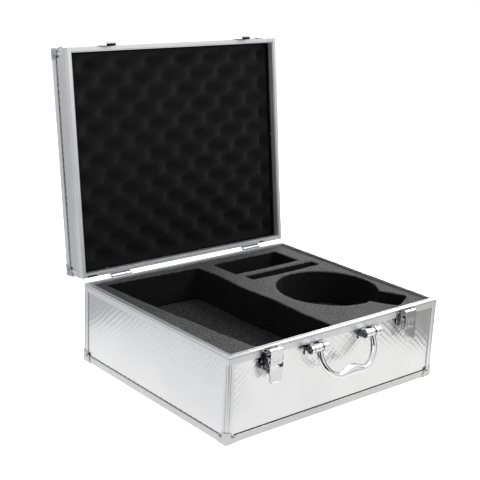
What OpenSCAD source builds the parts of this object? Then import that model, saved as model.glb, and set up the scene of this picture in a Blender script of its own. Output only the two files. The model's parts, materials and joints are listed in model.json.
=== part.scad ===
// Aluminium carry case with a hinged lid, cut foam insert, bail handle and two toggle latches.
// Millimetres. +X to the right, +Y to the hinged side, +Z up.
// The origin is the centre of the footprint on the resting plane.

/* [Case] */
// Outside width over the edge rails
case_w = 450; // [430:1:480]
// Outside depth over the edge rails
case_d = 382; // [370:1:420]
// Height of the base, resting plane to rim
base_h = 138; // [130:1:160]
// Depth of the lid, mouth to outer face
lid_h = 51; // [48:1:60]
// Angle the lid stands open
lid_open = 97.4; // [90:0.1:100]
// Thickness of the laminated side panels
panel_t = 4.5; // [3.5:0.1:5]

/* [Rails] */
// Thickness of the extruded rails
rail_t = 1.5; // [1.2:0.1:1.8]
// Height of the rail round the base rim
base_rim_h = 13; // [12:0.5:14]
// Height of the rail round the lid mouth
lid_rim_h = 16; // [14:0.5:18]
// Leg of the rails along the outer edges
edge_leg = 11; // [10:0.5:13]
// Leg of the pressed corner caps
cap_leg = 18; // [17:1:22]

/* [Foam] */
// Depth of the pockets cut in the foam insert
pocket_depth = 60; // [40:1:90]
// Drop from the rim to the top of the foam
foam_drop = 3; // [2:0.5:6]
// Radius of the round pocket
round_r = 88; // [80:1:90]

/* [Handle] */
// Half the distance between the bail arms
handle_half = 57.5; // [56:0.5:60]
// Drop from the handle pivot to the middle of the grip
handle_drop = 52; // [50:1:56]
// Angle the bail stands out from the vertical
handle_tilt = 21.5; // [10:0.5:30]
// Radius of the bail bar
bail_r = 5.1; // [4.5:0.1:5.2]

/* [Latches] */
// Distance of each latch from the middle of the case
latch_x = 146; // [130:1:160]
// Distance of each hinge from the middle of the case
hinge_x = 147; // [130:1:160]

/* [Hidden] */
$fn = 48;

cap_bulge = 1.2;
cap_spot = 11.5;
panel_out = rail_t;
panel_in = rail_t + panel_t;
rim_w = 2 * rail_t + panel_t;
half_w = case_w / 2;
half_d = case_d / 2;
lid_z = base_h + 0.4;
lid_top = lid_z + lid_h;
hinge_y = half_d + 4.5;
hinge_z = base_h + 1.1;
knuckle_r = 3.1;
hinge_half = 20;
foam_top = base_h - foam_drop;
foam_floor = foam_top - pocket_depth;
pivot_y = -half_d - 10;
pivot_z = base_h - 19;
lever_y = -half_d - 6.5;
lever_z = base_h - 26;
claw_y = lever_y - 4;
claw_z = lever_z + 2;

aluminium = [0.78, 0.79, 0.80];
rail_colour = [0.70, 0.71, 0.72];
chrome_colour = [0.85, 0.86, 0.88];
foam_colour = [0.16, 0.16, 0.17];

// ---------- shared shapes ----------

// Box given by its two opposite corners.
module block(low, high) {
    translate(low) cube([high[0] - low[0], high[1] - low[1], high[2] - low[2]]);
}

// Cylinder lying along X from x0 to x1.
module rod_x(r, x0, x1) {
    translate([x0, 0, 0]) rotate([0, 90, 0]) cylinder(r = r, h = x1 - x0);
}

// Rectangular ring standing on z0, its wall reaching in by t from an outline inset by in.
module ring(in, t, z0, z1) {
    difference() {
        block([-half_w + in, -half_d + in, z0], [half_w - in, half_d - in, z1]);
        block([-half_w + in + t, -half_d + in + t, z0 - 1], [half_w - in - t, half_d - in - t, z1 + 1]);
    }
}

// Mitred wedge that keeps one side of a ring: 0 front, 1 right, 2 rear, 3 left.
module side_wedge(side, z0, z1) {
    run = side % 2 == 0 ? half_w : half_d;
    out = side % 2 == 0 ? half_d : half_w;
    reach = 14;
    lap = 3;
    rotate([0, 0, 90 * side])
        translate([0, 0, z0])
        linear_extrude(z1 - z0)
        polygon([
            [-run - lap + 0.05, -out - lap], [run + lap - 0.05, -out - lap],
            [run - reach - 0.05, -out + reach], [-run + reach + 0.05, -out + reach]
        ]);
}

// Rounded bead along one side of the case at height z, stopping short of the corner caps.
module bead(side, z) {
    run = side % 2 == 0 ? half_w : half_d;
    out = side % 2 == 0 ? half_d : half_w;
    rotate([0, 0, 90 * side])
        translate([0, -out + 0.4, z])
        rod_x(1, -run + cap_leg + 2, run - cap_leg - 2);
}

// L-shaped corner post with beads, standing on z0; the corner is at the local origin, legs along +X and +Y.
module corner_post(z0, z1) {
    translate([0, 0, z0])
        linear_extrude(z1 - z0)
        difference() {
            union() {
                translate([2, 2]) circle(r = 2);
                translate([2, 0]) square([edge_leg - 2, rail_t]);
                translate([0, 2]) square([rail_t, edge_leg - 2]);
                square_corner();
            }
            translate([4.2, -0.4]) square([1, 0.9]);
            translate([-0.4, 4.2]) square([0.9, 1]);
            translate([rail_t, rail_t]) square([edge_leg, edge_leg]);
        }
}

// Quarter of the post behind its rounded edge.
module square_corner() {
    difference() {
        square([3, 3]);
        square([2, 2]);
    }
}

// Puts its children at the four vertical edges of the case, turned to face inwards.
module at_corners() {
    for (sx = [-1, 1])
        for (sy = [-1, 1])
            translate([sx * half_w, sy * half_d, 0])
                mirror([sx > 0 ? 1 : 0, 0, 0])
                mirror([0, sy > 0 ? 1 : 0, 0])
                children();
}

// Pressed corner cap: rounded shell over three faces, corner at the local origin.
module corner_cap(floor_hole) {
    bulge = cap_bulge;
    round_edge = 2.4;
    difference() {
        intersection() {
            hull()
                for (x = [round_edge - bulge, 40])
                    for (y = [round_edge - bulge, 40])
                        for (z = [round_edge - bulge, 40])
                            translate([x, y, z]) sphere(r = round_edge, $fn = 24);
            sphere(r = cap_leg + 1, $fn = 64);
        }
        block([0, 0, 0], [50, 50, 50]);
        if (floor_hole)
            translate([cap_spot, cap_spot, -bulge - 1]) cylinder(r = 3.4, h = 5);
        translate([cap_spot, -bulge - 1, cap_spot]) rotate([-90, 0, 0]) cylinder(r = 1.6, h = 5);
        translate([-bulge - 1, cap_spot, cap_spot]) rotate([0, 90, 0]) cylinder(r = 1.6, h = 5);
        translate([cap_spot, cap_spot, -bulge - 1]) cylinder(r = 1.6, h = 5);
    }
}

// Tubular rivet: head outwards along -Z from z = 0, shank to z = deep.
module ring_rivet(r, head, deep) {
    difference() {
        union() {
            translate([0, 0, -head]) cylinder(r1 = r * 0.72, r2 = r, h = head);
            cylinder(r = 1.5, h = deep);
        }
        translate([0, 0, -head - 1]) cylinder(r = r * 0.46, h = 1 + head * 0.7);
    }
}

// Solid domed rivet with its head along -Y.
module small_rivet(r, head, deep) {
    rotate([-90, 0, 0]) {
        translate([0, 0, -head]) cylinder(r1 = r * 0.65, r2 = r, h = head);
        cylinder(r = r * 0.55, h = deep);
    }
}

// The three rivets of one corner cap, corner at the local origin.
module cap_rivets(flush) {
    bulge = cap_bulge;
    translate([cap_spot, -bulge, cap_spot]) rotate([-90, 0, 0]) ring_rivet(3.4, 1.1, bulge);
    translate([-bulge, cap_spot, cap_spot]) rotate([0, 90, 0]) ring_rivet(3.4, 1.1, bulge);
    if (flush)
        translate([cap_spot, cap_spot, -bulge + 0.2]) cylinder(r = 3.2, h = bulge - 0.2);
    else
        translate([cap_spot, cap_spot, -bulge]) ring_rivet(3.4, 1.1, bulge);
}

// Turns the closed lid about the hinge line to its open rest position.
module opened() {
    translate([0, hinge_y, hinge_z])
        rotate([-lid_open, 0, 0])
        translate([0, -hinge_y, -hinge_z])
        children();
}

// ---------- base panels ----------

module side_panel(side, z0, z1) {
    color(aluminium)
        intersection() {
            ring(panel_out, panel_t, z0, z1);
            side_wedge(side, z0 - 1, z1 + 1);
        }
}

module bottom_panel() {
    color(aluminium)
        block([-half_w + panel_in, -half_d + panel_in, cap_bulge + rail_t],
              [half_w - panel_in, half_d - panel_in, cap_bulge + rail_t + panel_t]);
}

// ---------- base rails ----------

// Channel that closes the top edge of the base, with a drip line and a raised inner tongue.
module base_rim(side) {
    z0 = base_h - base_rim_h;
    color(rail_colour)
        intersection() {
            difference() {
                union() {
                    ring(0, rail_t, z0, base_h);
                    ring(0, rim_w, base_h - rail_t, base_h);
                    ring(panel_in, rail_t, z0 + 3, base_h);
                    ring(rim_w - 1.3, 1.2, base_h - 1, base_h + 1);
                }
                ring(-1, 1.5, base_h - 3.2, base_h - 2.4);
            }
            side_wedge(side, z0 - 1, base_h + 2);
        }
}

// Angle along the bottom edge, with a bead on its upper lip.
module base_foot(side) {
    z0 = cap_bulge;
    z1 = z0 + edge_leg;
    color(rail_colour)
        union() {
            intersection() {
                union() {
                    ring(0, rail_t, z0, z1);
                    ring(0, edge_leg, z0, z0 + rail_t);
                }
                side_wedge(side, z0 - 1, z1 + 1);
            }
            bead(side, z1 - 1);
        }
}

module base_corner_posts() {
    color(rail_colour)
        at_corners()
        corner_post(cap_bulge + edge_leg, base_h - base_rim_h);
}

module base_corner_caps() {
    color(chrome_colour)
        translate([0, 0, cap_bulge])
        at_corners()
        corner_cap(true);
}

module base_cap_rivets() {
    color(chrome_colour)
        translate([0, 0, cap_bulge])
        at_corners()
        cap_rivets(true);
}

// ---------- foam ----------

// Outline of the large compartment on the left.
module large_pocket_2d() {
    polygon([
        [-194, 173], [-6, 163], [-2, 108], [-8, 40], [-3, -40], [-7, -110], [-5, -174],
        [-162, -174], [-172, -85], [-186, 38]
    ]);
}

// Outline of the round pocket and the tail that leads off it.
module round_pocket_2d() {
    translate([115, -42]) {
        circle(r = round_r, $fn = 96);
        rotate([0, 0, -62.2]) {
            translate([60, -29]) square([63, 58]);
            translate([60, -19]) square([73, 38]);
            for (s = [-1, 1])
                translate([123, s * 19]) circle(r = 10);
        }
    }
}

module foam_insert() {
    color(foam_colour)
        difference() {
            block([-half_w + rim_w + 0.5, -half_d + rim_w + 0.5, foam_floor],
                  [half_w - rim_w - 0.5, half_d - rim_w - 0.5, foam_top]);
            translate([0, 0, foam_floor - 1])
                linear_extrude(pocket_depth + 2) {
                    large_pocket_2d();
                    round_pocket_2d();
                    translate([28, 97]) square([150, 66]);
                    translate([34, 58.5]) square([161, 22.5]);
                }
        }
}

module foam_lower_block() {
    color(foam_colour)
        block([-half_w + rim_w + 0.5, -half_d + rim_w + 0.5, cap_bulge + rail_t + panel_t],
              [half_w - rim_w - 0.5, half_d - rim_w - 0.5, foam_floor]);
}

// ---------- hinges ----------

// Barrel section of a hinge on its axis.
module knuckle(x0, x1) {
    translate([0, hinge_y, hinge_z])
        difference() {
            rod_x(knuckle_r, x0, x1);
            rod_x(1.3, x0 - 1, x1 + 1);
        }
}

module hinge_base_leaves() {
    color(chrome_colour)
        for (s = [-1, 1])
            translate([s * hinge_x, 0, 0]) {
                difference() {
                    block([-hinge_half, half_d, base_h - 12.5], [hinge_half, half_d + 1.2, base_h - 0.6]);
                    for (x = [-13, 0, 13])
                        translate([x, half_d - 1, base_h - 7]) rotate([-90, 0, 0]) cylinder(r = 1.6, h = 4);
                }
                for (m = [0, 1])
                    mirror([m, 0, 0]) {
                        knuckle(7.2, hinge_half);
                        difference() {
                            union() {
                                block([7.2, half_d + 1, base_h - 1.8], [hinge_half, hinge_y, base_h - 0.6]);
                                translate([7.2, hinge_y, hinge_z])
                                    rotate([90 - lid_open, 0, 0])
                                    translate([0, 0, -1])
                                    cube([hinge_half - 7.2, 5, knuckle_r - 0.1 + 1]);
                            }
                            translate([0, hinge_y, hinge_z]) rod_x(2.4, 0, hinge_half + 1);
                        }
                    }
            }
}

module hinge_lid_leaves() {
    color(chrome_colour)
        opened()
        for (s = [-1, 1])
            translate([s * hinge_x, 0, 0]) {
                difference() {
                    block([-hinge_half, half_d, base_h + 3], [hinge_half, half_d + 1.2, base_h + 15.5]);
                    for (x = [-13, 0, 13])
                        translate([x, half_d - 1, base_h + 10]) rotate([-90, 0, 0]) cylinder(r = 1.6, h = 4);
                }
                knuckle(-6.9, 6.9);
                difference() {
                    block([-6.9, half_d + 1, base_h + 3], [6.9, hinge_y, base_h + 4.2]);
                    translate([0, hinge_y, hinge_z]) rod_x(2.4, -8, 8);
                }
            }
}

module hinge_pins() {
    color(chrome_colour)
        for (s = [-1, 1])
            translate([s * hinge_x, hinge_y, hinge_z]) {
                rod_x(1.25, -hinge_half - 1, hinge_half + 1);
                rod_x(2, -hinge_half - 1.4, -hinge_half - 0.4);
                rod_x(2, hinge_half + 0.4, hinge_half + 1.4);
            }
}

module hinge_rivet_row(z) {
    for (s = [-1, 1])
        for (x = [-13, 0, 13])
            translate([s * hinge_x + x, half_d + 1.2, z])
                mirror([0, 1, 0])
                small_rivet(2.7, 1.1, 1.2);
}

module hinge_base_rivets() {
    color(chrome_colour) hinge_rivet_row(base_h - 7);
}

module hinge_lid_rivets() {
    color(chrome_colour) opened() hinge_rivet_row(base_h + 10);
}

// ---------- handle ----------

// Right-hand bracket: plate on the panel with two lobes that carry the bail pin.
module handle_bracket() {
    panel_y = -half_d + panel_out;
    color(chrome_colour)
        difference() {
            union() {
                block([handle_half - 18, panel_y - 2, pivot_z - 11], [handle_half + 19, panel_y, pivot_z + 5.5]);
                for (span = [[handle_half - 16, handle_half - 5.9], [handle_half + 5.9, handle_half + 12.4]]) {
                    translate([0, pivot_y, pivot_z]) rod_x(7, span[0], span[1]);
                    block([span[0], pivot_y, pivot_z - 7], [span[1], panel_y - 1, pivot_z + 5.5]);
                }
                translate([0, pivot_y, pivot_z]) {
                    rod_x(5.8, handle_half + 12, handle_half + 14);
                    rod_x(6.8, handle_half + 13.4, handle_half + 18.4);
                }
            }
            translate([0, pivot_y, pivot_z]) rod_x(3.04, handle_half - 12, handle_half + 12);
        }
}

module handle_bracket_right() {
    handle_bracket();
}

module handle_bracket_left() {
    mirror([1, 0, 0]) handle_bracket();
}

module handle_pins() {
    color(chrome_colour)
        for (m = [0, 1])
            mirror([m, 0, 0])
                translate([0, pivot_y, pivot_z]) rod_x(3, handle_half - 11.9, handle_half + 11.9);
}

// Bail: two eyes, two arms, two quarter bends and a swollen grip.
module handle_bail() {
    bend = 40;
    grip_z = -handle_drop;
    color(chrome_colour)
        translate([0, pivot_y, pivot_z])
        rotate([-handle_tilt, 0, 0]) {
            difference() {
                union() {
                    for (m = [0, 1])
                        mirror([m, 0, 0]) {
                            rod_x(6.6, handle_half - 5.5, handle_half + 5.5);
                            translate([handle_half, 0, grip_z + bend])
                                cylinder(r = bail_r, h = handle_drop - bend);
                            translate([handle_half - bend, 0, grip_z + bend])
                                rotate([90, 0, 0])
                                rotate_extrude(angle = -90)
                                translate([bend, 0])
                                circle(r = bail_r);
                        }
                    translate([0, 0, grip_z]) rod_x(bail_r, -handle_half + bend, handle_half - bend);
                }
                rod_x(3.05, -handle_half - 7, handle_half + 7);
            }
            hull()
                for (x = [-26, -10, 10, 26])
                    translate([x, 0, grip_z + (abs(x) < 20 ? 7 : 1)])
                        rotate([0, 90, 0])
                        cylinder(r = abs(x) < 20 ? 6 : 3.7, h = 1, center = true, $fn = 24);
        }
}

// ---------- latches ----------

// Plate riveted over the rim, notched at the top for the strike; its ears carry the lever pin.
module latch_plate(side) {
    plate_y = -half_d - 1.2;
    panel_y = -half_d + panel_out;
    color(chrome_colour)
        translate([side * latch_x, 0, 0])
        difference() {
            union() {
                block([-20, plate_y, base_h - 27], [20, -half_d, base_h - 1.2]);
                block([-20, plate_y, base_h - 27], [20, panel_y, base_h - 24]);
                for (m = [0, 1])
                    mirror([m, 0, 0]) {
                        block([14, lever_y, base_h - 33], [15.2, -half_d, base_h - 5]);
                        block([14, lever_y - 5, lever_z - 4], [15.2, lever_y + 1, base_h - 12]);
                        translate([0, lever_y - 1, lever_z]) rod_x(4.6, 14, 15.2);
                    }
            }
            block([-10.5, plate_y - 1, base_h - 12], [10.5, -half_d + 1, base_h]);
            translate([0, lever_y, lever_z]) rod_x(1.55, -30, 30);
            for (x = [-17.6, 17.6])
                for (z = [5, 20])
                    translate([x, plate_y - 1, base_h - z]) rotate([-90, 0, 0]) cylinder(r = 1.1, h = 3);
        }
}

module latch_left_plate() {
    latch_plate(-1);
}

module latch_right_plate() {
    latch_plate(1);
}

module latch_plate_rivets() {
    color(chrome_colour)
        for (s = [-1, 1])
            for (x = [-17.6, 17.6])
                for (z = [5, 20])
                    translate([s * latch_x + x, -half_d - 1.2, base_h - z]) small_rivet(1.8, 0.9, 1.1);
}

module latch_plate_pins() {
    color(chrome_colour)
        for (s = [-1, 1])
            translate([s * latch_x, lever_y, lever_z]) {
                rod_x(1.5, -15.8, 15.8);
                rod_x(2.3, -16.4, -15.4);
                rod_x(2.3, 15.4, 16.4);
            }
}

// Lever: two cheeks on the ear pin, a front web and a finger tab with rounded corners.
module latch_lever(side) {
    front = claw_y - 3.7;
    color(chrome_colour)
        translate([side * latch_x, 0, 0])
        difference() {
            union() {
                for (m = [0, 1])
                    mirror([m, 0, 0]) {
                        translate([0, lever_y, lever_z]) rod_x(3.4, 12.4, 13.6);
                        translate([0, claw_y, claw_z]) rod_x(3, 12.4, 13.6);
                        block([12.4, front, lever_z - 10], [13.6, lever_y, lever_z + 2]);
                    }
                block([-13.6, front, lever_z - 12], [13.6, front + 1.2, lever_z - 4.2]);
                block([-12, front, lever_z - 23], [12, front + 1.2, lever_z - 11]);
                block([-8, front, lever_z - 27], [8, front + 1.2, lever_z - 22]);
                for (x = [-8, 8])
                    translate([x, front + 1.2, lever_z - 23]) rotate([90, 0, 0]) cylinder(r = 4, h = 1.2);
                translate([0, front + 0.2, lever_z - 26.4]) rod_x(0.9, -7.5, 7.5);
            }
            translate([0, lever_y, lever_z]) rod_x(1.56, -20, 20);
            translate([0, claw_y, claw_z]) rod_x(1.25, -20, 20);
        }
}

module latch_left_lever() {
    latch_lever(-1);
}

module latch_right_lever() {
    latch_lever(1);
}

module latch_claw_pin(side) {
    color(chrome_colour)
        translate([side * latch_x, claw_y, claw_z]) rod_x(1.2, -13.6, 13.6);
}

module latch_left_claw_pin() {
    latch_claw_pin(-1);
}

module latch_right_claw_pin() {
    latch_claw_pin(1);
}

// Claw: front plate on two small cheeks, folded over at the top into a downward lip.
module latch_claw(side) {
    color(chrome_colour)
        translate([side * latch_x, claw_y, claw_z])
        difference() {
            union() {
                for (m = [0, 1])
                    mirror([m, 0, 0]) {
                        rod_x(2.6, 10.8, 12);
                        block([10.8, -2.7, -1], [12, 0, 4]);
                    }
                block([-12, -2.7, -1], [12, -1.5, 21.6]);
                block([-11, -2.2, 22], [11, 2.5, 23.2]);
                translate([0, -1.1, 21.6]) rod_x(1.6, -12, 12);
                block([-8.5, 1.3, 19.5], [8.5, 2.5, 22.4]);
                for (x = [-4, 4])
                    translate([x, -2.7, 5]) rotate([90, 0, 0]) cylinder(r1 = 1.5, r2 = 1, h = 0.6);
                block([-9, -3.1, 9], [9, -2.6, 10.4]);
            }
            rod_x(1.25, -20, 20);
            block([-8.4, -1.5, 18], [8.4, 1.3, 22]);
        }
}

module latch_left_claw() {
    latch_claw(-1);
}

module latch_right_claw() {
    latch_claw(1);
}

// Strike: plate on the lid rim with a hanging hook for the claw lip.
module strike(side) {
    face = -half_d;
    color(chrome_colour)
        opened()
        translate([side * latch_x, 0, 0]) {
            difference() {
                block([-15, face - 1.4, base_h + 2], [15, face, base_h + 13]);
                for (x = [-11, 11])
                    translate([x, face - 3, base_h + 8]) rotate([-90, 0, 0]) cylinder(r = 1.3, h = 5);
            }
            block([-9, face - 1.4, base_h - 8.6], [9, face - 0.4, base_h + 3]);
            block([-9, face - 7.2, base_h - 8.6], [9, face - 0.4, base_h - 7.6]);
            block([-9, face - 7.2, base_h - 8.6], [9, face - 6.2, base_h - 5.8]);
        }
}

module strike_left() {
    strike(-1);
}

module strike_right() {
    strike(1);
}

module strike_rivets() {
    color(chrome_colour)
        opened()
        for (s = [-1, 1])
            for (x = [-11, 11])
                translate([s * latch_x + x, -half_d - 1.4, base_h + 8]) small_rivet(2.2, 0.9, 1.4);
}

// ---------- lid ----------

module lid_top_panel() {
    z1 = lid_top - rail_t;
    color(aluminium)
        opened()
        block([-half_w + panel_in, -half_d + panel_in, z1 - panel_t], [half_w - panel_in, half_d - panel_in, z1]);
}

module lid_side_panel(side) {
    opened() side_panel(side, lid_z + 2.7, lid_top - rail_t);
}

// Channel round the lid mouth, stepped on its inner side to clear the tongue of the base.
module lid_rim(side) {
    z1 = lid_z + lid_rim_h;
    color(rail_colour)
        opened()
        intersection() {
            difference() {
                union() {
                    ring(0, rail_t, lid_z, z1);
                    ring(0, rim_w, lid_z, lid_z + 2.7);
                    ring(panel_in, rail_t, lid_z, z1 - 4);
                }
                ring(rim_w - 1.8, 3, lid_z - 1, lid_z + 1.2);
                ring(-1, 1.5, z1 - 4, z1 - 3.2);
            }
            side_wedge(side, lid_z - 1, z1 + 1);
        }
}

// Angle along the outer edge of the lid.
module lid_edge(side) {
    z0 = lid_top - edge_leg;
    color(rail_colour)
        opened() {
            intersection() {
                union() {
                    ring(0, rail_t, z0, lid_top);
                    ring(0, edge_leg, lid_top - rail_t, lid_top);
                }
                side_wedge(side, z0 - 1, lid_top + 1);
            }
            bead(side, z0 + 1);
        }
}

module lid_corner_posts() {
    color(rail_colour)
        opened()
        at_corners()
        corner_post(lid_z + lid_rim_h, lid_top - edge_leg);
}

module lid_corner_caps() {
    color(chrome_colour)
        opened()
        translate([0, 0, lid_top])
        mirror([0, 0, 1])
        at_corners()
        corner_cap(false);
}

module lid_cap_rivets() {
    color(chrome_colour)
        opened()
        translate([0, 0, lid_top])
        mirror([0, 0, 1])
        at_corners()
        cap_rivets(false);
}

// Foam pad that fills the lid behind its mouth.
module lid_foam() {
    z1 = lid_top - rail_t - panel_t;
    color([0.1, 0.1, 0.11])
        opened()
        block([-half_w + rim_w + 0.5, -half_d + rim_w + 0.5, lid_z + 14],
              [half_w - rim_w - 0.5, half_d - rim_w - 0.5, z1]);
}

// Rubber buffers pressed on the mouth face of the rear lid rail.
module lid_rim_buffers() {
    color([0.05, 0.05, 0.05])
        opened() {
            block([-215, half_d - 3.4, lid_z - 0.25], [-197, half_d - 0.6, lid_z]);
            block([168, half_d - 3.4, lid_z - 0.25], [178, half_d - 0.6, lid_z]);
        }
}

// ---------- nodes ----------

panel_z0 = cap_bulge + rail_t;
panel_z1 = base_h - rail_t;

bottom_panel();  // base_bottom_panel
side_panel(0, panel_z0, panel_z1);  // base_front_panel
side_panel(1, panel_z0, panel_z1);  // base_right_panel
side_panel(2, panel_z0, panel_z1);  // base_rear_panel
side_panel(3, panel_z0, panel_z1);  // base_left_panel
base_rim(0);  // base_rim_front
base_rim(1);  // base_rim_right
base_rim(2);  // base_rim_rear
base_rim(3);  // base_rim_left
base_foot(0);  // base_foot_front
base_foot(1);  // base_foot_right
base_foot(2);  // base_foot_rear
base_foot(3);  // base_foot_left
base_corner_posts();
base_corner_caps();
base_cap_rivets();
foam_insert();
foam_lower_block();
hinge_base_leaves();
hinge_pins();
hinge_base_rivets();
handle_bracket_left();
handle_bracket_right();
handle_pins();
handle_bail();
latch_left_plate();
latch_right_plate();
latch_plate_rivets();
latch_plate_pins();
latch_left_lever();
latch_right_lever();
latch_left_claw_pin();
latch_right_claw_pin();
latch_left_claw();
latch_right_claw();
lid_top_panel();
lid_side_panel(0);  // lid_front_panel
lid_side_panel(1);  // lid_right_panel
lid_side_panel(2);  // lid_rear_panel
lid_side_panel(3);  // lid_left_panel
lid_rim(0);  // lid_rim_front
lid_rim(1);  // lid_rim_right
lid_rim(2);  // lid_rim_rear
lid_rim(3);  // lid_rim_left
lid_edge(0);  // lid_edge_front
lid_edge(1);  // lid_edge_right
lid_edge(2);  // lid_edge_rear
lid_edge(3);  // lid_edge_left
lid_corner_posts();
lid_corner_caps();
lid_cap_rivets();
lid_foam();
lid_rim_buffers();
hinge_lid_leaves();
hinge_lid_rivets();
strike_left();
strike_right();
strike_rivets();
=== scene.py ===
import json
import math

import bmesh
import bpy
import numpy as np
from mathutils import Matrix, Vector


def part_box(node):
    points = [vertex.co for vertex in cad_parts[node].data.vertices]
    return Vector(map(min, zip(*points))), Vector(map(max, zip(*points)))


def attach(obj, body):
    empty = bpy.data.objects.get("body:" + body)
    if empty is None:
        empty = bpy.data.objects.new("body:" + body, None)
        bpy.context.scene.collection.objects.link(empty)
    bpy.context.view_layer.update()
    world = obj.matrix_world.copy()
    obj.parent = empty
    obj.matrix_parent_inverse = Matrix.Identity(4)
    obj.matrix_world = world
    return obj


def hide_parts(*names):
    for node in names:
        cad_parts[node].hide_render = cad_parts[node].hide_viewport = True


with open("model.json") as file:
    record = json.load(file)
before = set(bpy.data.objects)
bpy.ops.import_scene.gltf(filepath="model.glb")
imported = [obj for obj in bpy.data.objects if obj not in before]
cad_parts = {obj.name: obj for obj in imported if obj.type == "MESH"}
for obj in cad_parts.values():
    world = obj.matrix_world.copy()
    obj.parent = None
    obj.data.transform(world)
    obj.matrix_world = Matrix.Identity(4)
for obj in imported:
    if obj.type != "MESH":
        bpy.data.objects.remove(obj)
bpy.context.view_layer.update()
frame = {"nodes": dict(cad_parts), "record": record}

nodes = frame["nodes"]
record = frame["record"]
joints = {j["name"]: j for j in record["behaviour"]["joints"]}
scene = bpy.context.scene


NOISE_TABLE = 4096  # entries, a power of two
HASH_PRIMES = (73856093, 19349663, 83492791)


# ---------- mesh helpers, all lengths in metres ----------


def add_mesh(name, verts, faces, smooth=True):
    mesh = bpy.data.meshes.new(name)
    mesh.from_pydata([tuple(v) for v in verts], [], [tuple(f) for f in faces])
    mesh.validate()
    mesh.update()
    mesh.polygons.foreach_set("use_smooth", [smooth] * len(mesh.polygons))
    obj = bpy.data.objects.new(name, mesh)
    scene.collection.objects.link(obj)
    return obj


def fix_normals(obj):
    bm = bmesh.new()
    bm.from_mesh(obj.data)
    bmesh.ops.recalc_face_normals(bm, faces=bm.faces)
    bm.to_mesh(obj.data)
    bm.free()


def coords(mesh):
    co = np.empty(len(mesh.vertices) * 3)
    mesh.vertices.foreach_get("co", co)
    return co.reshape(-1, 3)


def set_coords(mesh, co):
    mesh.vertices.foreach_set("co", np.ascontiguousarray(co).ravel())
    mesh.update()


def moved(points, matrix):
    m = np.array(matrix)
    return points @ m[:3, :3].T + m[:3, 3]


def evaluated_copy(obj, name):
    """A new object holding obj's mesh with its modifiers applied."""
    graph = bpy.context.evaluated_depsgraph_get()
    mesh = bpy.data.meshes.new_from_object(obj.evaluated_get(graph))
    mesh.name = name
    out = bpy.data.objects.new(name, mesh)
    scene.collection.objects.link(out)
    return out


def closed_sheet(name, front, back, rows, columns, matrix=None):
    """A closed sheet: a grid of points in front, and one flat face behind it."""
    rim = [i * columns for i in range(rows)]
    rim += [(rows - 1) * columns + j for j in range(1, columns)]
    rim += [i * columns + columns - 1 for i in range(rows - 2, -1, -1)]
    rim += [j for j in range(columns - 2, 0, -1)]
    verts = np.vstack([front, back[rim]])
    count = rows * columns
    faces = []
    for i in range(rows - 1):
        for j in range(columns - 1):
            k = i * columns + j
            faces.append((k, k + 1, k + columns + 1, k + columns))
    total = len(rim)
    for k in range(total):
        after = (k + 1) % total
        faces.append((rim[k], rim[after], count + after, count + k))
    faces.append(tuple(range(count, count + total)))
    if matrix is not None:
        verts = moved(verts, matrix)
    obj = add_mesh(name, verts, faces)
    fix_normals(obj)
    return obj


def remeshed(node, name, voxel):
    """A voxel-remeshed copy of a CAD node, as a new object."""
    source = bpy.data.objects.new(name + "_src", nodes[node].data.copy())
    scene.collection.objects.link(source)
    mod = source.modifiers.new("remesh", "REMESH")
    mod.mode = "VOXEL"
    mod.voxel_size = voxel
    out = evaluated_copy(source, name)
    bpy.data.objects.remove(source)
    out.data.polygons.foreach_set("use_smooth", [True] * len(out.data.polygons))
    return out


def value_noise(points, size, seed):
    """Smooth noise from -1 to 1 with features of the given size in metres."""
    table = np.random.default_rng(seed).uniform(-1, 1, NOISE_TABLE)
    q = points / size
    base = np.floor(q).astype(int)
    frac = q - base
    frac = frac * frac * (3 - 2 * frac)
    total = np.zeros(len(points))
    for dx in (0, 1):
        for dy in (0, 1):
            for dz in (0, 1):
                cell = base + (dx, dy, dz)
                key = (cell * HASH_PRIMES).T
                key = key[0] ^ key[1] ^ key[2]
                weight = (
                    np.where(dx, frac[:, 0], 1 - frac[:, 0])
                    * np.where(dy, frac[:, 1], 1 - frac[:, 1])
                    * np.where(dz, frac[:, 2], 1 - frac[:, 2])
                )
                total += table[key & (NOISE_TABLE - 1)] * weight
    return total


def normals_of(mesh):
    n = np.empty(len(mesh.vertices) * 3)
    mesh.vertex_normals.foreach_get("vector", n)
    return n.reshape(-1, 3)


# ---------- materials ----------


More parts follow.
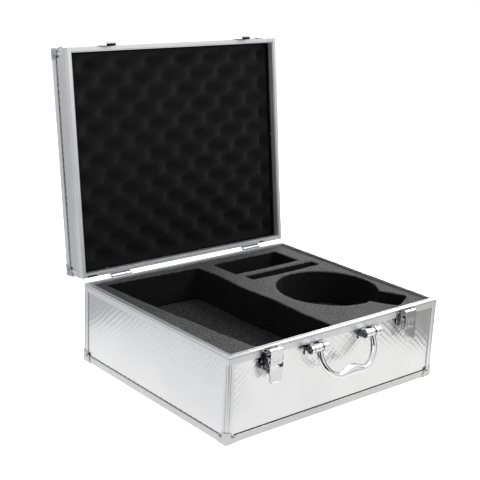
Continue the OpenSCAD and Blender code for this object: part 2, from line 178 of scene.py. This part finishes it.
class Nodes:
    """Short calls that build the node tree of a new material, or add to one that exists."""

    def __init__(self, name):
        self.mat = bpy.data.materials.get(name) or bpy.data.materials.new(name)
        self.mat.use_nodes = True
        self.tree = self.mat.node_tree
        self.bsdf = self.tree.nodes["Principled BSDF"]
        self.coord = self.tree.nodes.new("ShaderNodeTexCoord").outputs["Object"]

    def node(self, kind, **values):
        """A new node, with each value set on its property or else its input of that name."""
        n = self.tree.nodes.new(kind)
        for key, value in values.items():
            if hasattr(n, key):
                setattr(n, key, value)
            else:
                n.inputs[key].default_value = value
        return n

    def link(self, a, b):
        self.tree.links.new(a, b)

    def noise(self, scale, detail=3.0, rough=0.55, stretch=None):
        n = self.node("ShaderNodeTexNoise", Scale=scale, Detail=detail, Roughness=rough)
        if stretch:
            m = self.node("ShaderNodeMapping")
            m.inputs["Scale"].default_value = stretch
            self.link(self.coord, m.inputs["Vector"])
            self.link(m.outputs[0], n.inputs["Vector"])
        else:
            self.link(self.coord, n.inputs["Vector"])
        return n.outputs["Fac"]

    def ramp(self, fac, stops):
        r = self.node("ShaderNodeValToRGB")
        e = r.color_ramp.elements
        e[0].position, e[0].color = stops[0][0], (*stops[0][1], 1)
        e[1].position, e[1].color = stops[-1][0], (*stops[-1][1], 1)
        for position, colour in stops[1:-1]:
            extra = e.new(position)
            extra.color = (*colour, 1)
        self.link(fac, r.inputs["Fac"])
        return r.outputs["Color"]

    def multiply(self, a, b):
        m = self.node("ShaderNodeMix", data_type="RGBA", blend_type="MULTIPLY")
        m.inputs[0].default_value = 1.0
        self.link(a, m.inputs[6])
        self.link(b, m.inputs[7])
        return m.outputs[2]

    def map_range(self, value, start, end, low=0.0, high=1.0):
        m = self.node("ShaderNodeMapRange")
        m.inputs["From Min"].default_value = start
        m.inputs["From Max"].default_value = end
        m.inputs["To Min"].default_value = low
        m.inputs["To Max"].default_value = high
        self.link(value, m.inputs["Value"])
        return m.outputs["Result"]

    def spread(self, fac, low, high):
        """Maps the middle of a noise onto low to high."""
        return self.map_range(fac, 0.3, 0.7, low, high)

    def bump(self, height, strength, distance, after=None):
        b = self.node("ShaderNodeBump", Strength=strength, Distance=distance)
        self.link(height, b.inputs["Height"])
        if after is not None:
            self.link(after, b.inputs["Normal"])
        return b.outputs["Normal"]


def grey(v, blue=0.0):
    return (v, v, v * (1 + blue))


def metal(
    name, tone, rough, blue=0.01, streak=None, grain=0.15, contrast=0.04,
    metallic=1.0, crevice=0.0, painted_shade_tone=0.02, edge=0.0004,
):
    """A metal with shade painted into its crevices of the given reach, and which looks rounded
    at its edges.

    streak is the noise scale along x, y and z of fine drawn lines, low along the lines.
    """
    n = Nodes(name)
    n.bsdf.inputs["Metallic"].default_value = metallic
    dull, bright = grey(tone - contrast, blue), grey(tone + contrast, blue)
    paint = n.ramp(n.noise(6, 3), [(0.3, dull), (0.7, bright)])
    # Painted shade: the base colour goes dark where ambient occlusion finds other surfaces
    # within the crevice reach.
    if crevice:
        shade = n.node("ShaderNodeAmbientOcclusion", samples=8, Distance=crevice)
        painted_shade = n.ramp(shade.outputs["AO"], [(0.25, grey(painted_shade_tone)), (0.75, grey(1.0))])
        paint = n.multiply(paint, painted_shade)
    n.link(paint, n.bsdf.inputs["Base Color"])
    n.link(n.spread(n.noise(30, 4), rough[0], rough[1]), n.bsdf.inputs["Roughness"])
    rounded = n.node("ShaderNodeBevel", samples=4, Radius=edge)
    normal = n.bump(n.noise(900, 2), grain, 0.0001, after=rounded.outputs[0])
    if streak:
        normal = n.bump(n.noise(1.0, 4, stretch=streak), 0.25, 0.0002, after=normal)
    n.link(normal, n.bsdf.inputs["Normal"])
    return n.mat


def foam(name, low, high, pore, strength, sheen=0.05):
    """Open-cell foam: dark pores of tone low in cell walls of tone high."""
    n = Nodes(name)
    n.bsdf.inputs["Roughness"].default_value = 0.95
    n.bsdf.inputs["Specular IOR Level"].default_value = 0.06
    n.bsdf.inputs["Sheen Weight"].default_value = sheen
    n.bsdf.inputs["Sheen Roughness"].default_value = 0.6
    cells = n.noise(pore, 2, 0.7)
    middle = (low + high) * 0.42
    paint = n.ramp(cells, [(0.40, grey(low)), (0.52, grey(middle)), (0.64, grey(high))])
    patches = n.ramp(n.noise(14, 3), [(0.3, grey(0.85)), (0.7, grey(1.0))])
    n.link(n.multiply(paint, patches), n.bsdf.inputs["Base Color"])
    n.link(n.bump(cells, strength, 0.0008), n.bsdf.inputs["Normal"])
    return n.mat


ALONG_X, ALONG_Y, ALONG_Z = (4, 900, 900), (900, 4, 900), (900, 900, 4)


def rail(name, tone, streak, blue=0.015, painted_shade_tone=0.02):
    """Satin anodised aluminium, drawn along one axis."""
    return metal(
        name, tone, (0.36, 0.48), blue=blue, metallic=0.7, crevice=0.002, painted_shade_tone=painted_shade_tone,
        streak=streak,
    )


# Every metal below has shade painted into its crevices.
skin = metal("embossed_aluminium", 0.81, (0.20, 0.28), blue=0.008, crevice=0.0022)
rail_x = rail("rail_along_x", 0.70, ALONG_X)
rail_y = rail("rail_along_y", 0.76, ALONG_Y)
foot_x = rail("foot_rail_along_x", 0.60, ALONG_X, blue=0.0)
foot_y = rail("foot_rail_along_y", 0.66, ALONG_Y, blue=0.01)
rail_z = rail("rail_along_z", 0.76, ALONG_Z, painted_shade_tone=0.4)
chrome = metal(
    "chrome", 0.86, (0.04, 0.10), blue=0.015, grain=0.03, contrast=0.02, crevice=0.005
)
plated = metal(
    "plated_steel", 0.68, (0.06, 0.14), blue=0.015, grain=0.10, contrast=0.05,
    crevice=0.008, edge=0.0011,
)
pressed = metal("pressed_steel", 0.60, (0.14, 0.24), blue=0.01, grain=0.08, crevice=0.003)
rivet = metal("rivet_steel", 0.40, (0.14, 0.22), blue=-0.06, grain=0.05, crevice=0.003)
foam_top = foam("cut_foam", 0.045, 0.225, 460, 0.6)
foam_low = foam("lower_foam", 0.012, 0.115, 460, 0.7)
# Pocket walls: a darker copy of the foam, partly the cut cells' own darker colour and partly
# painted shade where less light reaches.
foam_wall = foam("foam_cut_wall", 0.006, 0.032, 700, 0.8, 0.03)
foam_lid = foam("egg_crate_foam", 0.007, 0.022, 800, 0.6, 0.03)


def shaded_face(name, direction, below, tone):
    """Paints shade on the faces of a metal that look along an object direction, up to a
    height.
    """
    n = Nodes(name)
    where = n.coord.node
    blur = 0.0003
    facing = n.node("ShaderNodeVectorMath", operation="DOT_PRODUCT")
    facing.inputs[1].default_value = direction
    n.link(where.outputs["Normal"], facing.inputs[0])
    axes = n.node("ShaderNodeSeparateXYZ")
    n.link(where.outputs["Object"], axes.inputs[0])
    under = n.map_range(axes.outputs["Z"], below - blur, below + blur, 1.0, 0.0)
    inside = n.node("ShaderNodeMath", operation="MULTIPLY")
    n.link(facing.outputs["Value"], inside.inputs[0])
    n.link(under, inside.inputs[1])
    dark = n.ramp(inside.outputs[0], [(0.93, grey(1)), (0.97, grey(tone))])
    paint = n.bsdf.inputs["Base Color"].links[0].from_socket
    n.link(n.multiply(paint, dark), n.bsdf.inputs["Base Color"])


def rubber():
    n = Nodes("rubber")
    paint = n.ramp(n.noise(200, 3), [(0.3, grey(0.012)), (0.7, grey(0.025))])
    n.link(paint, n.bsdf.inputs["Base Color"])
    n.link(n.spread(n.noise(80, 3), 0.6, 0.8), n.bsdf.inputs["Roughness"])
    n.link(n.bump(n.noise(1500, 2), 0.2, 0.0001), n.bsdf.inputs["Normal"])
    return n.mat


black_rubber = rubber()


def dress(name, material):
    """Gives a CAD node another material; its shape stays."""
    for slot in nodes[name].material_slots:
        slot.material = material


for name in nodes:
    along_x = name.endswith(("front", "rear"))
    if name.startswith("base_foot_"):
        dress(name, foot_x if along_x else foot_y)
    elif name.startswith(("base_rim_", "lid_rim_", "lid_edge_")):
        dress(name, rail_x if along_x else rail_y if name.startswith("base") else rail_z)
    elif name.endswith("corner_posts"):
        dress(name, rail_z if name.startswith("base") else rail_y)
    elif name.endswith("corner_caps"):
        dress(name, pressed)
    elif "rivets" in name:
        dress(name, rivet)
    elif name.startswith(("latch", "strike")):
        dress(name, plated)
    elif name.startswith(("hinge", "handle")):
        dress(name, chrome)
dress("lid_rim_buffers", black_rubber)

# Painted shade on a strike's hook: the face that looks into it is darkened below the fold at
# its top.
hook = metal(
    "strike_steel", 0.86, (0.06, 0.14), blue=0.015, grain=0.05, crevice=0.004, edge=0.0006
)
hook_face = (0, -0.9917, 0.1288)
hook_fold = 0.0026
shaded_face("strike_steel", hook_face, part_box("strike_left")[1][2] - hook_fold, 0.02)
for name in ("strike_left", "strike_right"):
    dress(name, hook)


# ---------- embossed panels ----------

hinge = joints["lid_hinge"]
turn = math.radians(hinge["range_deg"][1])
axis_point = Vector(hinge["pos_m"])
swing = Matrix.Rotation(-turn, 4, "X")
to_open = Matrix.Translation(axis_point) @ swing @ Matrix.Translation(-axis_point)
to_closed = to_open.inverted()


def closed_box(node):
    """Lowest and highest corners of a lid node with the lid shut."""
    co = moved(coords(nodes[node].data), to_closed)
    return co.min(axis=0), co.max(axis=0)


def relief(u, v):
    """Hammered pattern: staggered shallow dents, 0 at the highest points."""
    pitch_u, pitch_v = 0.0125, 0.0105
    wander = 0.0016
    depth, depth_spread = 0.00024, 0.00007
    pts = np.stack([u, v, np.zeros_like(u)], 1)
    u = u + wander * value_noise(pts, 0.03, 4)
    v = v + wander * value_noise(pts, 0.03, 5)
    wave = np.cos(2 * np.pi * u / pitch_u) * np.cos(2 * np.pi * v / pitch_v)
    return (wave - 1.0) * (depth + depth_spread * value_noise(pts, 0.02, 3))


def panel(name, node, box, side, matrix=None, gap=None):
    """Closed sheet in place of a CAD panel; the face named by side carries the relief.

    Below gap, a height, the skin steps back: the shadow line over the bottom rail.
    """
    grid, flat_border, fade_in = 0.0021, 0.004, 0.004
    step_back, step_height = 0.0013, 0.0002
    low, high = (np.array(b, float) for b in box)
    axis = "xyz".index(side[1])
    out, back = (high, low) if side[0] == "+" else (low, high)
    a, b = [i for i in range(3) if i != axis]
    lines_a = np.linspace(low[a], high[a], int((high[a] - low[a]) / grid) + 2)
    lines_b = np.linspace(low[b], high[b], int((high[b] - low[b]) / grid) + 2)
    if gap is not None:
        lines_b = np.sort(np.append(lines_b, (gap - step_height, gap)))
    na, nb = len(lines_a), len(lines_b)
    ga, gb = (g.ravel() for g in np.meshgrid(lines_a, lines_b, indexing="ij"))
    edge = np.minimum.reduce([ga - low[a], high[a] - ga, gb - low[b], high[b] - gb])
    depth = relief(ga, gb) * np.clip((edge - flat_border) / fade_in, 0, 1)
    if gap is not None:
        depth = np.where(gb < gap - step_height / 2, -step_back, depth)
    face = np.zeros((na * nb, 3))
    face[:, a], face[:, b] = ga, gb
    face[:, axis] = out[axis] + (depth if side[0] == "+" else -depth)
    rear = face.copy()
    rear[:, axis] = back[axis]
    obj = closed_sheet(name, face, rear, na, nb, matrix)
    obj.data.set_sharp_from_angle(angle=math.radians(40))
    obj.data.materials.append(skin)
    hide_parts(node)
    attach(obj, "lid" if matrix is not None else "base")


for where, side in (("front", "-y"), ("rear", "+y"), ("left", "-x"), ("right", "+x")):
    node = f"base_{where}_panel"
    rail_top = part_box(f"base_foot_{where}")[1][2]
    gap = rail_top + (0.0018 if where == "front" else 0.0006)
    panel(f"base_{where}_skin", node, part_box(node), side, gap=gap)
    node = f"lid_{where}_panel"
    panel(f"lid_{where}_skin", node, closed_box(node), side, to_open)
panel("base_bottom_skin", "base_bottom_panel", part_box("base_bottom_panel"), "-z")
panel("lid_top_skin", "lid_top_panel", closed_box("lid_top_panel"), "+z", to_open)


# ---------- foam ----------


def roughen(obj, small, large):
    """Moves a surface in and out by fine and broad waves of the given heights."""
    co = coords(obj.data)
    move = small * value_noise(co, 0.006, 11) + large * value_noise(co, 0.045, 12) - small
    set_coords(obj.data, co + normals_of(obj.data) * move[:, None])


def soft_piece(node, name, voxel, material, small, large):
    """A remeshed foam layer of the base; its faces below its top get the darker cut-wall foam,
    partly the cut foam's own colour and partly painted shade.
    """
    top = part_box(node)[1][2] - 0.0016
    obj = remeshed(node, name, voxel)
    roughen(obj, small, large)
    obj.data.materials.clear()
    obj.data.materials.append(material)
    obj.data.materials.append(foam_wall)
    for poly in obj.data.polygons:
        poly.material_index = 1 if poly.center.z < top else 0
    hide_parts(node)
    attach(obj, "base")


soft_piece("foam_insert", "cut_foam_layer", 0.0022, foam_top, 0.0003, 0.0006)
soft_piece("foam_lower_block", "lower_foam_layer", 0.0035, foam_low, 0.0003, 0.0004)


def egg_crate():
    """Convoluted foam: staggered rounded peaks over the pad, drawn with the lid shut.

    Heights count up into the lid from the plane of its mouth.
    """
    peak_height, peak_depth = 0.0135, 0.021
    period_x, period_v = 0.064, 0.054
    first_x, first_v = 0.051, 0.354
    grid, border, border_level, rolled_edge = 0.0028, 0.016, 0.8, 0.003
    low, high = closed_box("lid_foam")
    mouth = closed_box("lid_rim_front")[0][2]
    rear_y = closed_box("lid_rim_rear")[1][1]
    nx = int((high[0] - low[0]) / grid) + 2
    ny = int((high[1] - low[1]) / grid) + 2
    lines_x, lines_y = np.linspace(low[0], high[0], nx), np.linspace(low[1], high[1], ny)
    gx, gy = (g.ravel() for g in np.meshgrid(lines_x, lines_y, indexing="ij"))
    v = rear_y - gy
    wave = np.cos(2 * np.pi * (gx - first_x) / period_x)
    wave = wave * np.cos(2 * np.pi * (v - first_v) / period_v)
    edge = np.minimum.reduce([gx - low[0], high[0] - gx, gy - low[1], high[1] - gy])
    ease = np.clip(edge / border, 0, 1)
    hill = np.clip((wave + 1) / 2, 0, 1) ** 0.9
    hill = border_level + (hill - border_level) * ease * ease * (3 - 2 * ease)
    pts = np.stack([gx, gy, np.zeros_like(gx)], 1)
    height = peak_height + (1 - hill) * peak_depth + 0.0006 * value_noise(pts, 0.02, 5)
    height += rolled_edge * np.exp(-edge / 0.002)
    front = np.stack([gx, gy, mouth + height], 1)
    back = front.copy()
    back[:, 2] = high[2]
    obj = closed_sheet("egg_crate_pad", front, back, nx, ny, to_open)
    obj.data.materials.append(foam_lid)
    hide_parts("lid_foam")
    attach(obj, "lid")


egg_crate()


# ---------- bail handle ----------


def grip_rings(half, bar, bend, drop):
    """Cross-sections along the bail, hanging straight: centre, inward direction and radii."""
    start = 0.0045  # below the pivot, inside the eye
    swell, swell_reach = 0.0092, 0.034
    straight = drop - bend - start
    arc = bend * math.pi / 2
    flat = half - bend
    length = straight + arc + flat
    steps = 90
    rings = []
    for i in range(-steps, steps + 1):
        s = length * (1 - abs(i) / steps)
        side = 1 if i > 0 else -1
        if s < straight:
            x, z, ang = half, -start - s, 0.0
        elif s < straight + arc:
            ang = (s - straight) / bend
            x = half - bend + bend * math.cos(ang)
            z = -(drop - bend) - bend * math.sin(ang)
        else:
            ang = math.pi / 2
            x = flat - (s - straight - arc)
            z = -drop
        x *= side
        inward = Vector((-math.cos(ang) * side, 0, math.sin(ang)))
        blend = 0.0
        if ang > 0.9:
            near = min(1.0, abs(x) / swell_reach)
            blend = (0.5 + 0.5 * math.cos(math.pi * near)) ** 0.85
        rise = swell * blend / 2
        centre = Vector((x, 0, z)) + inward * rise
        rings.append((centre, inward, bar * 0.96 + rise, bar * (1.0 + 0.2 * blend)))
    return rings


def strip(verts_per_row, row, after, base=0):
    """Faces joining two rows of points that each close on themselves."""
    n = verts_per_row
    for k in range(n):
        a, b = base + row * n + k, base + row * n + (k + 1) % n
        yield a, b, base + after * n + (k + 1) % n, base + after * n + k


def bail():
    """Swept chrome bail with rounded eyes and a swollen grip that rises on its inner side."""
    low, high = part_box("handle_bail")
    pivot = Vector(joints["handle_swing"]["pos_m"])
    bar, bend, drop = 0.0051, 0.040, 0.052
    eye_half, eye_bore, eye_radius = 0.0055, 0.00305, 0.0066
    lean = math.atan2(pivot[1] - bar - low[1], pivot[2] - bar - low[2])
    half = (high[0] - low[0]) / 2 - eye_half
    rings = grip_rings(half, bar, bend, drop)
    around = 24
    verts, faces = [], []
    for centre, inward, deep, wide in rings:
        for k in range(around):
            t = 2 * math.pi * k / around
            across = Vector((0, 1, 0)) * wide * math.sin(t)
            verts.append(centre + inward * deep * math.cos(t) + across)
    for i in range(len(rings) - 1):
        faces.extend(strip(around, i, i + 1))
    faces.append(tuple(range(around)))
    faces.append(tuple(range((len(rings) - 1) * around, len(rings) * around)))
    profile = [
        (eye_half, eye_bore),
        (eye_half, eye_radius - 0.0008),
        (eye_half - 0.0002, eye_radius - 0.0003),
        (eye_half - 0.0008, eye_radius),
    ]
    profile = profile + [(-w, r) for w, r in reversed(profile)]
    ring = 40
    rows = len(profile)
    for side in (-1, 1):
        base = len(verts)
        for w, r in profile:
            for k in range(ring):
                t = 2 * math.pi * k / ring
                verts.append(Vector((side * half + w, r * math.cos(t), r * math.sin(t))))
        for p in range(rows):
            faces.extend(strip(ring, p, (p + 1) % rows, base))
    place = Matrix.Translation(pivot) @ Matrix.Rotation(-lean, 4, "X")
    obj = add_mesh("bail_handle", [place @ v for v in verts], faces)
    fix_normals(obj)
    obj.data.set_sharp_from_angle(angle=math.radians(50))
    obj.data.materials.append(chrome)
    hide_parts("handle_bail")
    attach(obj, "handle")


bail()


# ---------- stage, light and camera ----------


def glow(name, colour):
    """Paint that shines with its own colour and nothing else."""
    mat = bpy.data.materials.new(name)
    mat.use_nodes = True
    tree = mat.node_tree
    tree.nodes.clear()
    emit = tree.nodes.new("ShaderNodeEmission")
    emit.inputs["Color"].default_value = (*colour, 1)
    out = tree.nodes.new("ShaderNodeOutputMaterial")
    tree.links.new(emit.outputs[0], out.inputs["Surface"])
    return mat


def flat_stage(name, corners, material, height=0.0):
    """A level stage plane with the given outline."""
    verts = [(x, y, height) for x, y in corners]
    obj = add_mesh(name, verts, [tuple(range(len(verts)))], smooth=False)
    obj.data.materials.append(material)
    return obj


def reflected_only(obj):
    """Seen in reflections and nowhere else."""
    obj.visible_camera = False
    obj.visible_diffuse = False
    obj.visible_transmission = False
    obj.visible_volume_scatter = False
    obj.visible_shadow = False


def card(name, centre, size, facing, colour):
    """A standing card that only reflections see."""
    x, y = size[0] / 2, size[1] / 2
    corners = [(-x, -y, 0), (x, -y, 0), (x, y, 0), (-x, y, 0)]
    obj = add_mesh(name, corners, [(0, 1, 2, 3)], smooth=False)
    direction = Vector(facing) - Vector(centre)
    turned = direction.to_track_quat("Z", "Y").to_matrix().to_4x4()
    obj.matrix_world = Matrix.Translation(centre) @ turned
    obj.data.materials.append(glow(name + "_paint", colour))
    reflected_only(obj)


def square(half):
    return [(-half, -half), (half, -half), (half, half), (-half, half)]


pale = Nodes("pale_floor")
paint = pale.ramp(pale.noise(3, 2), [(0.3, grey(0.92)), (0.7, grey(0.93))])
pale.link(paint, pale.bsdf.inputs["Base Color"])
pale.bsdf.inputs["Roughness"].default_value = 0.8
pale.bsdf.inputs["Specular IOR Level"].default_value = 0.0
pale.bsdf.inputs["Emission Color"].default_value = (1, 1, 1, 1)
pale.bsdf.inputs["Emission Strength"].default_value = 0.95
floor = flat_stage("floor", square(8), pale.mat)
floor.visible_glossy = False

# What the metal sees below the horizon: a lit table top, bluer towards the left, and a dimmer
# room beyond it. The planes lie a little apart, the table on top.
lit = Nodes("table_paint")
lit.tree.nodes.remove(lit.bsdf)
axes = lit.node("ShaderNodeSeparateXYZ")
lit.link(lit.coord, axes.inputs[0])
across = lit.map_range(axes.outputs["X"], -0.62, 0.2)
shine = lit.node("ShaderNodeEmission")
table_tones = [
    (0.0, (0.58, 0.595, 0.63)),
    (0.45, (1.0, 1.0, 1.0)),
    (0.75, (1.0, 1.0, 0.995)),
    (1.0, (1.0, 0.995, 0.965)),
]
lit.link(lit.ramp(across, table_tones), shine.inputs["Color"])
lit.link(shine.outputs[0], lit.tree.nodes["Material Output"].inputs["Surface"])
table = [
    (-0.95, 0.33), (-0.95, 0.14), (-0.53, -0.05), (-0.35, -0.27), (-0.27, -0.31),
    (-0.14, -0.30), (0.05, -0.62), (0.33, -0.66), (0.33, 0.33),
]
side = square(9)
right = [(-8, -3), (-8, -8), (8, -8), (8, 8), (0.6, 0.4), (-0.45, 0.0)]
front = [(-8, -3), (-8, -8), (3.0, -8), (0.0, -0.4), (-0.45, 0.0)]
side_paint = glow("side_paint", (0.49, 0.51, 0.535))
right_paint = glow("right_paint", (0.36, 0.36, 0.35))
front_paint = glow("front_paint", (0.02, 0.02, 0.022))
reflected_only(flat_stage("table_glow", table, lit.mat, 0.0002))
reflected_only(flat_stage("room_glow_side", side, side_paint, -0.006))
reflected_only(flat_stage("room_glow_right", right, right_paint, -0.004))
reflected_only(flat_stage("room_glow_front", front, front_paint, -0.002))
card("dark_card_camera", (-1.5, -2.0, 0.75), (2.2, 1.3), (0, 0, 0.1), (0.012, 0.012, 0.014))
card("dark_card_right", (2.6, -1.2, 0.45), (1.6, 0.9), (0, 0, 0.1), (0.03, 0.03, 0.03))
card("dark_card_left", (-2.4, 1.2, 0.45), (0.8, 0.8), (0, 0, 0.1), (0.05, 0.05, 0.055))

# The world is white to the camera, a little less so in reflections, and dim as a light.
world = bpy.data.worlds.new("studio")
scene.world = world
world.use_nodes = True
wt = world.node_tree
background = wt.nodes["Background"]
path = wt.nodes.new("ShaderNodeLightPath")
colour = (0.26, 0.265, 0.27, 1)
for flag, seen in (("Is Glossy Ray", (0.82, 0.825, 0.84, 1)), ("Is Camera Ray", (1, 1, 1, 1))):
    mixer = wt.nodes.new("ShaderNodeMix")
    mixer.data_type = "RGBA"
    if isinstance(colour, tuple):
        mixer.inputs[6].default_value = colour
    else:
        wt.links.new(colour, mixer.inputs[6])
    mixer.inputs[7].default_value = seen
    wt.links.new(path.outputs[flag], mixer.inputs[0])
    colour = mixer.outputs[2]
wt.links.new(colour, background.inputs["Color"])
background.inputs["Strength"].default_value = 1.0


def soft_light(name, place, aim, size, power):
    data = bpy.data.lights.new(name, "AREA")
    data.shape = "RECTANGLE"
    data.size, data.size_y = size
    data.energy = power
    obj = bpy.data.objects.new(name, data)
    obj.location = place
    obj.rotation_euler = (Vector(aim) - Vector(place)).to_track_quat("-Z", "Y").to_euler()
    scene.collection.objects.link(obj)
    return obj


soft_light("top_light", (0.75, -0.75, 1.3), (0.1, -0.1, 0.1), (0.9, 0.9), 9)
soft_light("rear_light", (1.5, 1.0, 1.0), (0.1, -0.1, 0.12), (0.9, 0.7), 13)
# Lights the foam and the floor, and leaves no highlight on the metal.
matt_light = soft_light("matt_light", (1.5, 0.9, 1.05), (0.15, -0.15, 0.12), (0.9, 0.7), 30)
matt_light.visible_glossy = False
soft_light("left_light", (-2.0, -1.0, 1.8), (0, 0, 0.1), (1.2, 1.2), 4)

# Solved from the photo's perspective: the view's right, up and back directions and its place.
camera = bpy.data.cameras.new("camera")
camera.lens = 79.931
camera.sensor_width = 36
camera.shift_x = 0.0458
camera.shift_y = -0.0083
camera.clip_start = 0.05
view = bpy.data.objects.new("camera", camera)
right = Vector((0.77665, -0.628739, 0.038767))
up = Vector((0.149511, 0.243766, 0.95824))
back = Vector((-0.611933, -0.738421, 0.283324))
matrix = Matrix((right, up, back)).transposed().to_4x4()
matrix.translation = Vector((-1.13168, -1.24882, 0.72809))
view.matrix_world = matrix
scene.collection.objects.link(view)
scene.camera = view
scene.view_settings.view_transform = "Standard"
